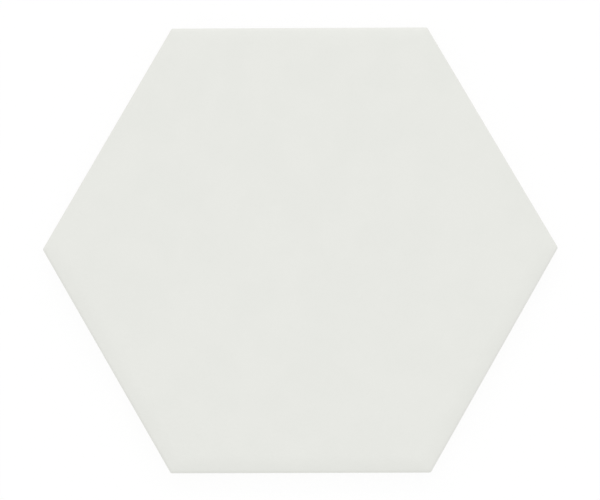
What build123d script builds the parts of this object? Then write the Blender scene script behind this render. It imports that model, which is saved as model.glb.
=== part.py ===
from build123d import *
import os
from math import asin, cos, radians, sin, sqrt, tan

# Hexagonal porcelain floor tile, dry pressed, glazed and fired as one piece.
# It lies face up: its back is on Z = 0 and its centre is on the Z axis. Two corners point
# along X and two sides face along Y. Lengths are in millimetres and angles in degrees.

# Whole tile
ACROSS_FLATS = 173.2  # side to side at the widest level, which is 200 over sharp corners
THICKNESS = 9.0  # from the flat of the back to the face
CORNER_RADIUS = 1.0  # of the six upright corners

# Edge of the face, which rolls down to the side
CUSHION_WIDTH = 7.0  # from the side to where the face turns flat
CUSHION_RADIUS = 27.0
ARRIS_RADIUS = 1.5  # where the cushion turns into the side

# Side and back edge
SIDE_DRAFT = 1.5  # how far the side leans in towards the back
BACK_CHAMFER = 0.8

# Keys: hexagonal recesses in the back, which the adhesive grips
KEY_RINGS = 4  # rings of recesses round the middle one
KEY_RIM = 6.0  # flat border outside the outer recesses
KEY_RIB = 3.0  # between two recesses
KEY_DEPTH = 1.0
KEY_FLANK = 30.0  # lean of the recess walls
KEY_CORNER = 2.0  # radius between two recess walls


def half_section():
    """Half of the section from side to side: Y out to the side, Z up to the face."""
    draft = radians(SIDE_DRAFT)
    roll = asin((CUSHION_WIDTH - ARRIS_RADIUS) / (CUSHION_RADIUS - ARRIS_RADIUS))
    arris_y = ACROSS_FLATS / 2 - ARRIS_RADIUS
    arris_z = THICKNESS - CUSHION_RADIUS + (CUSHION_RADIUS - ARRIS_RADIUS) * cos(roll)

    face_edge = (ACROSS_FLATS / 2 - CUSHION_WIDTH, THICKNESS)
    cushion_end = (arris_y + ARRIS_RADIUS * sin(roll), arris_z + ARRIS_RADIUS * cos(roll))
    arris_end = (arris_y + ARRIS_RADIUS * cos(draft), arris_z - ARRIS_RADIUS * sin(draft))
    back_edge = (arris_end[0] - arris_end[1] * tan(draft), 0)
    face_middle = (0, THICKNESS)
    return make_face(
        [
            Line(face_middle, face_edge),
            TangentArc(face_edge, cushion_end, tangent=(1, 0)),
            TangentArc(cushion_end, arris_end, tangent=(cos(roll), -sin(roll))),
            Polyline(arris_end, back_edge, (0, 0), face_middle),
        ]
    )


def pressed_blank():
    """The tile with a plain back: three bars of its section, crossed at 60 degrees."""
    half = half_section()
    section = Plane.YZ * (half + mirror(half, about=Plane.YZ))
    bar = extrude(section, amount=ACROSS_FLATS, both=True)
    blank = bar & bar.rotate(Axis.Z, 60) & bar.rotate(Axis.Z, 120)
    upright_corners = blank.edges().filter_by(GeomType.LINE).filter_by(Plane.XY, reverse=True)
    blank = fillet(upright_corners, CORNER_RADIUS)
    back = blank.faces().sort_by(Axis.Z)[0]
    return chamfer(back.edges(), BACK_CHAMFER)


def key_recesses(back_half_width):
    """Recesses in a honeycomb of whole cells, which fills the back up to its rim.

    The outer row's recesses point at the rim. So the reach from the middle is KEY_RINGS rows,
    each pitch * sqrt(3) / 2 apart, and then (pitch - KEY_RIB) / sqrt(3) to a recess's unrounded corner.
    """
    reach = back_half_width - KEY_RIM
    pitch = (sqrt(3) * reach + KEY_RIB) / (1.5 * KEY_RINGS + 1)
    mouth = RegularPolygon((pitch - KEY_RIB) / 2, 6, major_radius=False, rotation=30)
    recess = extrude(mouth, amount=KEY_DEPTH, taper=KEY_FLANK)
    recess = fillet(recess.edges().filter_by(Plane.XY, reverse=True), KEY_CORNER)
    rings = range(-KEY_RINGS, KEY_RINGS + 1)
    return [
        Pos(pitch * (column + row / 2), pitch * row * sqrt(3) / 2) * recess
        for row in rings
        for column in rings
        if abs(row + column) <= KEY_RINGS
    ]


def hexagon_tile():
    blank = pressed_blank()
    back = blank.faces().sort_by(Axis.Z)[0]
    return blank - key_recesses(back.bounding_box().size.Y / 2)


os.makedirs("parts", exist_ok=True)
export_step(hexagon_tile(), "parts/hexagon_tile.step")
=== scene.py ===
from math import asin, cos, hypot, pi, radians, sin, sqrt, tan

import bmesh
import bpy
import numpy as np
from mathutils import Euler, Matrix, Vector, noise
from mathutils.geometry import delaunay_2d_cdt


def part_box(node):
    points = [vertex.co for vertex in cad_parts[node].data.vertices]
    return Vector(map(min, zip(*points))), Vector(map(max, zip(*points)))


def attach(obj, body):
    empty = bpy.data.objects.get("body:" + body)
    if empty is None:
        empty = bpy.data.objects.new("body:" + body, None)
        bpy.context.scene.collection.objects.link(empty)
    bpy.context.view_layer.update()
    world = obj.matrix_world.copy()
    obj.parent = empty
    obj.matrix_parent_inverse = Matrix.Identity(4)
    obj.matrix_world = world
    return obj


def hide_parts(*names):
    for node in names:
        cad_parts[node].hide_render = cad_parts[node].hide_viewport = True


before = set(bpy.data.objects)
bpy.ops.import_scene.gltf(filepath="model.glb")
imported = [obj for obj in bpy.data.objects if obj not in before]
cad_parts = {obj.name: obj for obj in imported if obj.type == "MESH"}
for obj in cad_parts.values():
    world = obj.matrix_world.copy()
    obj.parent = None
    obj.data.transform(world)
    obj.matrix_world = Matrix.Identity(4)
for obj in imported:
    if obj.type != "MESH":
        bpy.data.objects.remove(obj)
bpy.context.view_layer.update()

# A white hexagonal porcelain floor tile, lying face up on a white studio floor.
# Lengths are in metres and the frame is the CAD model's: back on Z = 0, corners along X.

MM = 0.001
NODE = "hexagon_tile"
node_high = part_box(NODE)[1]

# The tile's section, with the CAD model's sizes
HALF_FLATS = node_high.y
THICKNESS = node_high.z
CORNER_RADIUS = 1.0 * MM
CUSHION_WIDTH = 7.0 * MM
CUSHION_RADIUS = 27.0 * MM
ARRIS_RADIUS = 1.5 * MM
SIDE_DRAFT = radians(1.5)
BACK_CHAMFER = 0.8 * MM
KEY_RINGS = 4
KEY_RIM = 6.0 * MM
KEY_RIB = 3.0 * MM
KEY_DEPTH = 1.0 * MM
KEY_FLANK = radians(30.0)
KEY_CORNER = 2.0 * MM

# What follows from the section: the cushion's roll, the arris's centre, the side's ends and the keys
ROLL = asin((CUSHION_WIDTH - ARRIS_RADIUS) / (CUSHION_RADIUS - ARRIS_RADIUS))
ARRIS_LEVEL = THICKNESS - CUSHION_RADIUS + (CUSHION_RADIUS - ARRIS_RADIUS) * cos(ROLL)
SIDE_TOP = ARRIS_LEVEL - ARRIS_RADIUS * sin(SIDE_DRAFT)
SIDE_TOP_INSET = ARRIS_RADIUS * (1 - cos(SIDE_DRAFT))
SIDE_FOOT_INSET = SIDE_TOP_INSET + SIDE_TOP * tan(SIDE_DRAFT)
KEY_REACH = HALF_FLATS - SIDE_FOOT_INSET - BACK_CHAMFER - KEY_RIM
KEY_PITCH = (sqrt(3) * KEY_REACH + KEY_RIB) / (1.5 * KEY_RINGS + 1)

# Softness that pressing, glazing and firing leave
CUSHION_CORNER = 6.0 * MM  # corner radius of the outline where the face turns flat
CHAMFER_ROUNDING = 0.3 * MM  # reach of the rounding on each edge of the chamfer
KEY_ROUNDING = 0.2 * MM  # by which a recess's flank is rounded out at its mouth and floor
GLAZE_WAVE = 0.02 * MM  # slow unevenness of the fired glaze
GLAZE_WAVE_LENGTH = 28 * MM

# Lower edge of the glaze, which wanders on the side and stands proud of the bare body
GLAZE_LINE = 5.0 * MM  # its mean level
GLAZE_RUN = ((0.55 * MM, 23 * MM), (0.25 * MM, 5 * MM))  # how far it wanders, over what length
GLAZE_STEP = 0.10 * MM  # how far the bare side lies behind the glazed one
GLAZE_EDGE = (  # its profile: how far above the line and in front of the glazed side
    (0.50 * MM, 0),
    (0.20 * MM, 0.03 * MM),
    (0, -0.05 * MM),
    (-0.10 * MM, -GLAZE_STEP),
    (-0.40 * MM, -GLAZE_STEP),
)

# Mesh density
SIDE_STEPS = 72  # points along one side of the hexagon
CORNER_CROWDING = 0.9  # how far these gather in the corners: 0 is evenly
CUSHION_STEPS = 10
ARRIS_STEPS = 9
BARE_STEPS = 3
ROUNDING_STEPS = 4
CELL_STEPS = 8  # points along one side of a key cell
CELL_CROWDING = 0.5
FLANK_STEPS = 6
SAME_POINT = 0.004 * MM  # points nearer than this are joined

# Texture map: the skin unrolled round the face, and the back beside it
MAP_NAME = "OFBake"
MAP_WIDTH = 360 * MM
MAP_BAND = 0.7 * MM  # least width of a ring's band, so that a thin one keeps its own pixels
FACE_ON_MAP = np.array([127 * MM, 110 * MM])
BACK_ON_MAP = np.array([259 * MM, 272 * MM])

# Colours, linear
GLAZE_COLOUR = (0.804, 0.811, 0.771)
GLAZE_MOTTLE = (0.794, 0.802, 0.762)
GLAZE_THIN = (0.800, 0.804, 0.757)  # where it draws thin over the arris
BODY_COLOUR = (0.660, 0.625, 0.550)
BODY_DARK = (0.570, 0.530, 0.450)
BACK_WASH = (0.74, 0.73, 0.69)  # pale kiln wash on the high parts of the back

# Noise in the materials: its length, its detail, and the levels at which it starts and is full
MOTTLE_NOISE = (14 * MM, 4, 0.35, 0.65)
SHEEN_NOISE = (5 * MM, 3, 0.30, 0.70)
CLOUD_NOISE = (18 * MM, 3, 0.35, 0.65)
GRAIN_NOISE = (0.5 * MM, 3, 0.55, 0.75)
WASH_NOISE = (7 * MM, 5, 0.42, 0.60)
PEEL_NOISE = (1.8 * MM, 3)
DRAG_NOISE = (0.6 * MM, 2)

# Finish of the glaze and the bare body
GLAZE_ROUGHNESS = (0.39, 0.41)
PEEL_DEPTH = 0.05 * MM  # of the glaze's fine orange peel
THINNING_START = 0.4 * MM  # below the face
BODY_ROUGHNESS = 0.85
BODY_RELIEF = 0.04 * MM
CLOUD_SHARE = 0.35
GRAIN_SHARE = 0.5
WASH_SHARE = 0.55
WASH_LEVELS = (0.02 * MM, 0.3 * MM)  # between which the wash fades out, up a recess's flank
DRAG_STRETCH = (1, 1, 0.08)  # draws the drag marks out upright

# Stage and lights
FLOOR_SIZE = 6.0
FLOOR_GLOW = 0.905  # the floor's plain white
FLOOR_SHADOW = 0.10  # the rest of its white, which light and shadow act on
FLOOR_BOUNCE = 0.95  # how much light it throws back up
WORLD_LIGHT = 0.847
LIGHT_DISTANCE = 3.0
# Softboxes: power in watts, width, height, and degrees above the floor and round from +X
SOFTBOXES = {
    "overhead_softbox": (4.8, 1.2, 1.2, 90, 90),
    "back_softbox": (17.0, 4.0, 1.6, 36, 90),
}

# Camera, which looks down on the face from a little towards -Y
CAMERA_AIM = Vector((-0.07 * MM, -0.03 * MM, 0))
CAMERA_DISTANCE = 0.75
CAMERA_TILT = Euler((radians(4.312), radians(0.452), radians(-0.213)), "ZYX")
CAMERA_LENS = 114.86
CAMERA_SENSOR = 36.0


# Outlines and rings of points


def side_fractions(steps, crowding):
    """Where the points of one side lie, from 0 at its first corner towards 1 at its last."""
    t = np.arange(steps) / steps
    return t - crowding * np.sin(2 * pi * t) / (2 * pi)


def outline(half_flats, corner_radius, fractions):
    """Points round a hexagon with rounded corners, anticlockwise from the corner on +X."""
    arc = corner_radius * pi / 6
    straight = 2 * (half_flats - corner_radius) * tan(pi / 6)
    along = fractions * (2 * arc + straight)
    turn = (np.minimum(along, arc) + np.maximum(along - arc - straight, 0)) / corner_radius - pi / 6
    out = half_flats - corner_radius * (1 - np.cos(turn))
    across = np.clip(along - arc, 0, straight) - straight / 2 + corner_radius * np.sin(turn)
    sides = []
    for facing in pi / 6 + np.arange(6) * pi / 3:
        x = out * cos(facing) - across * sin(facing)
        y = out * sin(facing) + across * cos(facing)
        sides.append(np.c_[x, y])
    return np.concatenate(sides)


def raised(flat, level):
    """Flat points at a level, which is one number or one for each point."""
    return np.c_[flat, np.broadcast_to(level, len(flat))]


def wave(points, length):
    """Smooth noise from about -1 to 1 at each point."""
    return np.array([noise.noise(Vector(p) / length) for p in points])


def smooth(t):
    """Goes from 0 to 1 as t does, and is level at both ends."""
    return t * t * (3 - 2 * t)


def soft_corner(corner, before, after):
    """Points round a corner of a section, from a little before it to as far after it.

    The directions before and after are unit vectors, which point away from the corner.
    """
    for t in np.linspace(0, 1, ROUNDING_STEPS + 1):
        yield corner + CHAMFER_ROUNDING * ((1 - t) ** 2 * before + t**2 * after)


class MeshParts:
    """Collects points with their places on the texture map, and faces with their materials."""

    def __init__(self):
        self.points = []
        self.map_places = []
        self.faces = []
        self.materials = []
        self.count = 0

    def add_points(self, points, map_places):
        """Adds points and returns the number of the first."""
        first = self.count
        self.points.append(points)
        self.map_places.append(map_places)
        self.count += len(points)
        return first

    def add_faces(self, faces, material):
        self.faces += faces
        self.materials += [material] * len(faces)

    def add_band(self, first_a, first_b, size, material):
        """Quads between two closed rings of one size. They face out where b is outside or below a."""
        band = []
        for i in range(size):
            j = (i + 1) % size
            band.append((first_a + i, first_b + i, first_b + j, first_a + j))
        self.add_faces(band, material)

    def build(self, name, materials):
        mesh = bpy.data.meshes.new(name)
        mesh.from_pydata(np.concatenate(self.points).tolist(), [], self.faces)
        for material in materials:
            mesh.materials.append(material)
        mesh.polygons.foreach_set("material_index", self.materials)
        corners = [number for face in self.faces for number in face]
        map_places = np.concatenate(self.map_places)[corners] / MAP_WIDTH
        mesh.uv_layers.new(name=MAP_NAME).uv.foreach_set("vector", map_places.ravel())
        shape = bmesh.new()
        shape.from_mesh(mesh)
        bmesh.ops.remove_doubles(shape, verts=shape.verts, dist=SAME_POINT)
        shape.to_mesh(mesh)
        shape.free()
        mesh.shade_smooth()
        obj = bpy.data.objects.new(name, mesh)
        bpy.context.scene.collection.objects.link(obj)
        return obj


# The tile's skin: face, cushion, arris, side and back edge

GLAZE, BODY = 0, 1


def uneven(points):
    """Glazed points, lowered by the fired glaze's slow unevenness."""
    points[:, 2] -= GLAZE_WAVE * (1 - wave(points, GLAZE_WAVE_LENGTH))
    return points


def lattice_band(start, k):
    """Triangles from ring k of a hexagonal lattice, whose points are numbered from start, to the next."""
    size = max(6 * k, 1)
    outer_start = start + size
    outer_size = 6 * (k + 1)
    triangles = []
    for i in range(outer_size):
        side, j = divmod(i, k + 1)
        inner = start + (side * k + j) % size
        outer_next = outer_start + (i + 1) % outer_size
        triangles.append((inner, outer_start + i, outer_next))
        if j < k:
            triangles.append((inner, outer_next, start + (side * k + j + 1) % size))
    return triangles


def add_face_flat(parts):
    """The flat of the face, as a hexagonal lattice. Returns the number that its last ring starts at."""
    rings = [np.zeros((1, 2))]
    for k in range(1, SIDE_STEPS + 1):
        share = k / SIDE_STEPS
        fractions = side_fractions(k, CORNER_CROWDING * smooth(share))
        rings.append(outline((HALF_FLATS - CUSHION_WIDTH) * share, CUSHION_CORNER * share, fractions))
    flat = np.concatenate(rings)
    start = parts.add_points(uneven(raised(flat, THICKNESS)), FACE_ON_MAP + flat)
    for k, ring in enumerate(rings[:-1]):
        parts.add_faces(lattice_band(start, k), GLAZE)
        start += len(ring)
    return start


def glaze_line(flat):
    """The level at which the glaze ends, at each point round the side."""
    line = np.full(len(flat), GLAZE_LINE)
    for height, length in GLAZE_RUN:
        line += height * wave(raised(flat, SIDE_TOP), length)
    return line


def side_inset(level):
    """Inset of the drafted side at a ring's mean level."""
    return SIDE_TOP_INSET + (SIDE_TOP - np.mean(level)) * tan(SIDE_DRAFT)


def top_rings():
    """Inset and level of the rings over the cushion and the arris."""
    for angle in np.linspace(0, ROLL, CUSHION_STEPS + 1)[1:]:
        fall = CUSHION_RADIUS * (1 - cos(angle))
        yield CUSHION_WIDTH - CUSHION_RADIUS * sin(angle), THICKNESS - fall
    for angle in np.linspace(ROLL, pi / 2 + SIDE_DRAFT, ARRIS_STEPS + 1)[1:]:
        yield ARRIS_RADIUS * (1 - sin(angle)), ARRIS_LEVEL + ARRIS_RADIUS * cos(angle)


def side_rings(line):
    """Inset, level and material of the rings down the side, on which the glaze ends at the line."""
    halfway = (SIDE_TOP + line) / 2
    yield side_inset(halfway), halfway, GLAZE
    for rise, out in GLAZE_EDGE:
        level = line + rise
        yield side_inset(level) - out, level, BODY if rise < 0 else GLAZE
    drop = level - BACK_CHAMFER - CHAMFER_ROUNDING
    for share in np.arange(1, BARE_STEPS) / BARE_STEPS:
        lower = level - drop * share
        yield side_inset(lower) + GLAZE_STEP, lower, BODY


def foot_rings():
    """Inset and level of the rings round the chamfer between the side and the back."""
    up = np.array([0, 1])
    inward = np.array([1, 0])
    slope = (inward - up) / sqrt(2)
    foot = SIDE_FOOT_INSET + GLAZE_STEP
    yield from soft_corner(np.array([foot, BACK_CHAMFER]), up, slope)
    yield from soft_corner(np.array([foot + BACK_CHAMFER, 0]), -slope, inward)
    yield foot + BACK_CHAMFER + 2 * CHAMFER_ROUNDING, 0


def skin_rings(line):
    """Inset, level, corner radius and material of each ring, from the face round to the back."""
    for inset, level in top_rings():
        opening = (CUSHION_CORNER - CORNER_RADIUS) * inset / CUSHION_WIDTH
        yield inset, level, CORNER_RADIUS + opening, GLAZE
    for inset, level, material in side_rings(line):
        yield inset, level, CORNER_RADIUS, material
    for inset, level in foot_rings():
        yield inset, level, CORNER_RADIUS, BODY


def add_skin(parts):
    """The face and all round it to the back. Returns the last ring's points."""
    fractions = side_fractions(SIDE_STEPS, CORNER_CROWDING)
    line = glaze_line(outline(HALF_FLATS, CORNER_RADIUS, fractions))
    last_ring, last_inset, last_level = add_face_flat(parts), CUSHION_WIDTH, THICKNESS
    unrolled = HALF_FLATS - CUSHION_WIDTH
    for inset, level, corner, material in skin_rings(line):
        points = raised(outline(HALF_FLATS - inset, corner, fractions), level)
        if material == GLAZE:
            points = uneven(points)
        unrolled += max(hypot(inset - last_inset, np.mean(level) - last_level), MAP_BAND)
        ring = parts.add_points(points, FACE_ON_MAP + outline(unrolled, corner, fractions))
        parts.add_band(last_ring, ring, len(points), material)
        last_ring, last_inset, last_level = ring, inset, np.mean(level)
    return points


# The tile's keyed back


def back_map(points):
    """Places on the map for points of the back, as seen from below."""
    return BACK_ON_MAP + points[:, :2] * (1, -1)


def key_cells():
    """Row and column of each key cell in the honeycomb."""
    rings = range(-KEY_RINGS, KEY_RINGS + 1)
    return [(row, column) for row in rings for column in rings if abs(row + column) <= KEY_RINGS]


def cell_centre(row, column):
    return np.array([KEY_PITCH * (column + row / 2), KEY_PITCH * row * sqrt(3) / 2])


def in_a_cell(point, cells):
    """Whether a point lies in one of the key cells."""
    offsets = point - np.array([cell_centre(*cell) for cell in cells])
    facings = np.array([cell_centre(0, 1), cell_centre(1, 0), cell_centre(1, -1)]) / KEY_PITCH
    return np.any(np.abs(offsets @ facings.T).max(1) < KEY_PITCH / 2)


def cell_outline(margin, corner):
    """Outline a margin inside a key cell's border, with two of its corners along Y."""
    flat = outline(KEY_PITCH / 2 - margin, corner, side_fractions(CELL_STEPS, CELL_CROWDING))
    return flat @ np.array([[cos(pi / 6), sin(pi / 6)], [-sin(pi / 6), cos(pi / 6)]])


def cell_rings():
    """Rings of one key cell, from the middle of its ribs to the floor of its recess."""
    mouth = KEY_RIB / 2 - KEY_ROUNDING
    foot = KEY_RIB / 2 + KEY_DEPTH * tan(KEY_FLANK) + KEY_ROUNDING
    yield raised(cell_outline(0, SAME_POINT), 0)
    yield raised(cell_outline(mouth - KEY_ROUNDING, KEY_CORNER), 0)
    for t in np.linspace(0, 1, FLANK_STEPS + 1):
        yield raised(cell_outline(mouth + (foot - mouth) * t, KEY_CORNER), KEY_DEPTH * smooth(t))
    yield raised(cell_outline(foot + KEY_ROUNDING, KEY_CORNER), KEY_DEPTH)
    yield raised(cell_outline((foot + KEY_PITCH / 2) / 2, KEY_CORNER), KEY_DEPTH)


def add_back(parts, rim):
    """The keyed back: the honeycomb's cells, and the flat rim out to the skin's last ring."""
    cells = key_cells()
    size = 6 * CELL_STEPS
    rings = list(cell_rings())
    floor_middle = np.array([[0, 0, KEY_DEPTH]])
    for cell in cells:
        centre = np.append(cell_centre(*cell), 0)
        firsts = [parts.add_points(ring + centre, back_map(ring + centre)) for ring in rings]
        for a, b in zip(firsts, firsts[1:]):
            parts.add_band(a, b, size, BODY)
        middle = parts.add_points(floor_middle + centre, back_map(floor_middle + centre))
        last = firsts[-1]
        parts.add_faces([(last + i, middle, last + (i + 1) % size) for i in range(size)], BODY)
    add_rim(parts, rim, cells, rings[0][:, :2])


def add_rim(parts, rim, cells, cell_border):
    """Flat triangles between the skin's last ring and the honeycomb's outer border."""
    flat = [Vector(p[:2]) for p in rim]
    edges = [(i, (i + 1) % len(rim)) for i in range(len(rim))]
    neighbours = [(0, 1), (1, 0), (1, -1), (0, -1), (-1, 0), (-1, 1)]
    for row, column in cells:
        for step_row, step_column in neighbours:
            if (row + step_row, column + step_column) in cells:
                continue
            facing = cell_centre(step_row, step_column)
            # A cell's side 0 faces 60 degrees from +X
            side = round(np.arctan2(facing[1], facing[0]) / (pi / 3)) - 1
            numbers = np.arange(CELL_STEPS + 1) + side * CELL_STEPS
            points = cell_centre(row, column) + np.take(cell_border, numbers, 0, mode="wrap")
            edges += [(len(flat) + i, len(flat) + i + 1) for i in range(CELL_STEPS)]
            flat += [Vector(p) for p in points]
    inside_edges_only = 1
    found, _, triangles, *_ = delaunay_2d_cdt(flat, edges, [], inside_edges_only, SAME_POINT / 2)
    points = raised(np.array(found), 0)
    first = parts.add_points(points, back_map(points))
    kept = []
    for triangle in triangles:
        if not in_a_cell(points[triangle, :2].mean(0), cells):
            kept.append(tuple(first + i for i in reversed(triangle)))
    parts.add_faces(kept, BODY)


# Materials


def new_material(name):
    material = bpy.data.materials.new(name)
    material.use_nodes = True
    material.node_tree.nodes.clear()
    return material, material.node_tree


def add_node(tree, kind, inputs=None, **settings):
    """A shader node, with its settings, and with inputs that are values or other nodes' sockets."""
    node = tree.nodes.new(kind)
    for name, value in settings.items():
        setattr(node, name, value)
    for name, value in (inputs or {}).items():
        socket = node.inputs[name]
        if isinstance(value, bpy.types.NodeSocket):
            tree.links.new(value, socket)
        else:
            socket.default_value = (*value, 1) if socket.type == "RGBA" else value
    return node


def add_place(tree):
    """The place on the tile, and its level over the back."""
    place = add_node(tree, "ShaderNodeTexCoord").outputs["Object"]
    return place, add_node(tree, "ShaderNodeSeparateXYZ", {"Vector": place}).outputs["Z"]


def add_noise(tree, place, length, detail):
    inputs = {"Vector": place, "Scale": 1 / length, "Detail": detail}
    return add_node(tree, "ShaderNodeTexNoise", inputs).outputs["Fac"]


def add_range(tree, value, start, end, low, high):
    """A value that goes smoothly from low to high while another goes from start to end."""
    inputs = {"Value": value, "From Min": start, "From Max": end, "To Min": low, "To Max": high}
    node = add_node(tree, "ShaderNodeMapRange", inputs, interpolation_type="SMOOTHSTEP")
    return node.outputs["Result"]


def add_patches(tree, place, length, detail, start, end, low=0, high=1):
    """Noise, as a value that goes from low to high between two of its levels."""
    return add_range(tree, add_noise(tree, place, length, detail), start, end, low, high)


def add_math(tree, operation, first, second):
    return add_node(tree, "ShaderNodeMath", {0: first, 1: second}, operation=operation).outputs[0]


def add_mix(tree, share, colour_a, colour_b):
    """A colour that goes from a to b with the share. Sockets go by number, as their names repeat."""
    sockets = {0: share, 6: colour_a, 7: colour_b}
    return add_node(tree, "ShaderNodeMix", sockets, data_type="RGBA").outputs[2]


def add_bump(tree, height, depth):
    inputs = {"Height": height, "Strength": 1, "Distance": depth}
    return add_node(tree, "ShaderNodeBump", inputs).outputs["Normal"]


def add_surface(tree, inputs):
    shader = add_node(tree, "ShaderNodeBsdfPrincipled", inputs)
    add_node(tree, "ShaderNodeOutputMaterial", {"Surface": shader.outputs["BSDF"]})


def satin_glaze():
    """White satin glaze: faintly mottled, thin over the arris, with a fine orange peel."""
    material, tree = new_material("satin_glaze")
    place, level = add_place(tree)
    colour = add_mix(tree, add_patches(tree, place, *MOTTLE_NOISE), GLAZE_COLOUR, GLAZE_MOTTLE)
    thin = add_range(tree, level, THICKNESS - THINNING_START, ARRIS_LEVEL, 0, 1)
    colour = add_mix(tree, thin, colour, GLAZE_THIN)
    rough = add_patches(tree, place, *SHEEN_NOISE, *GLAZE_ROUGHNESS)
    normal = add_bump(tree, add_noise(tree, place, *PEEL_NOISE), PEEL_DEPTH)
    add_surface(tree, {"Base Color": colour, "Roughness": rough, "Normal": normal})
    return material


def fired_body():
    """Bare porcelain body: warm and grainy, with upright drag marks and a pale wash on the ribs."""
    material, tree = new_material("fired_body")
    place, level = add_place(tree)
    clouds = add_patches(tree, place, *CLOUD_NOISE, 0, CLOUD_SHARE)
    colour = add_mix(tree, clouds, BODY_COLOUR, BODY_DARK)
    grains = add_patches(tree, place, *GRAIN_NOISE, 0, GRAIN_SHARE)
    colour = add_mix(tree, grains, colour, BODY_DARK)
    on_ribs = add_range(tree, level, *WASH_LEVELS, WASH_SHARE, 0)
    wash = add_math(tree, "MULTIPLY", add_patches(tree, place, *WASH_NOISE), on_ribs)
    colour = add_mix(tree, wash, colour, BACK_WASH)
    stretch = {"Vector": place, "Scale": DRAG_STRETCH}
    upright = add_node(tree, "ShaderNodeMapping", stretch).outputs["Vector"]
    grain_height = add_noise(tree, place, *GRAIN_NOISE[:2])
    height = add_math(tree, "ADD", add_noise(tree, upright, *DRAG_NOISE), grain_height)
    normal = add_bump(tree, height, BODY_RELIEF)
    add_surface(tree, {"Base Color": colour, "Roughness": BODY_ROUGHNESS, "Normal": normal})
    return material


def add_tile():
    parts = MeshParts()
    rim = add_skin(parts)
    add_back(parts, rim)
    tile = parts.build("fired_tile", [satin_glaze(), fired_body()])
    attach(tile, "root")
    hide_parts(NODE)


# Stage, lights and camera


def shown_white(tree):
    """1 for a ray from the camera, off a glossy surface or through a clear one, and 0 for light."""
    path = add_node(tree, "ShaderNodeLightPath").outputs
    seen = add_math(tree, "MAXIMUM", path["Is Camera Ray"], path["Is Glossy Ray"])
    return add_math(tree, "MAXIMUM", seen, path["Is Transmission Ray"])


def floor_white():
    """White floor: mostly a plain white to look at, but partly lit, so that it keeps a shadow."""
    material, tree = new_material("studio_floor")
    lit = add_node(tree, "ShaderNodeBsdfDiffuse", {"Color": (FLOOR_SHADOW,) * 3})
    glow = add_node(tree, "ShaderNodeEmission", {"Color": (1, 1, 1), "Strength": FLOOR_GLOW})
    shown = add_node(tree, "ShaderNodeAddShader", {0: lit.outputs[0], 1: glow.outputs[0]})
    bounce = add_node(tree, "ShaderNodeBsdfDiffuse", {"Color": (FLOOR_BOUNCE,) * 3})
    shaders = {0: shown_white(tree), 1: bounce.outputs[0], 2: shown.outputs[0]}
    mix = add_node(tree, "ShaderNodeMixShader", shaders)
    add_node(tree, "ShaderNodeOutputMaterial", {"Surface": mix.outputs[0]})
    return material


def add_floor():
    mesh = bpy.data.meshes.new("floor")
    reach = FLOOR_SIZE / 2
    corners = [(-reach, -reach, 0), (reach, -reach, 0), (reach, reach, 0), (-reach, reach, 0)]
    mesh.from_pydata(corners, [], [(0, 1, 2, 3)])
    mesh.materials.append(floor_white())
    floor = bpy.data.objects.new("floor", mesh)
    bpy.context.scene.collection.objects.link(floor)


def add_softbox(name, power, width, height, elevation, azimuth):
    """A lamp that looks at the tile's middle."""
    light = bpy.data.lights.new(name, "AREA")
    light.energy = power
    light.shape = "RECTANGLE"
    light.size = width
    light.size_y = height
    lamp = bpy.data.objects.new(name, light)
    lamp.rotation_euler = (radians(90 - elevation), 0, radians(azimuth + 90))
    lamp.location = lamp.rotation_euler.to_matrix() @ Vector((0, 0, LIGHT_DISTANCE))
    bpy.context.scene.collection.objects.link(lamp)


def add_world():
    """Even light from all round, which shows as plain white."""
    world = bpy.data.worlds.new("studio")
    world.use_nodes = True
    tree = world.node_tree
    tree.nodes.clear()
    ambient = add_node(tree, "ShaderNodeBackground", {"Color": (1, 1, 1), "Strength": WORLD_LIGHT})
    white = add_node(tree, "ShaderNodeBackground", {"Color": (1, 1, 1), "Strength": 1})
    shaders = {0: shown_white(tree), 1: ambient.outputs[0], 2: white.outputs[0]}
    mix = add_node(tree, "ShaderNodeMixShader", shaders)
    add_node(tree, "ShaderNodeOutputWorld", {"Surface": mix.outputs[0]})
    bpy.context.scene.world = world


def add_camera():
    data = bpy.data.cameras.new("camera")
    data.sensor_width = CAMERA_SENSOR
    data.lens = CAMERA_LENS
    camera = bpy.data.objects.new("camera", data)
    camera.rotation_mode = "ZYX"
    camera.rotation_euler = CAMERA_TILT
    camera.location = CAMERA_AIM + CAMERA_TILT.to_matrix() @ Vector((0, 0, CAMERA_DISTANCE))
    bpy.context.scene.collection.objects.link(camera)
    bpy.context.scene.camera = camera


add_tile()
add_floor()
for name, settings in SOFTBOXES.items():
    add_softbox(name, *settings)
add_world()
add_camera()
bpy.context.scene.view_settings.view_transform = "Standard"
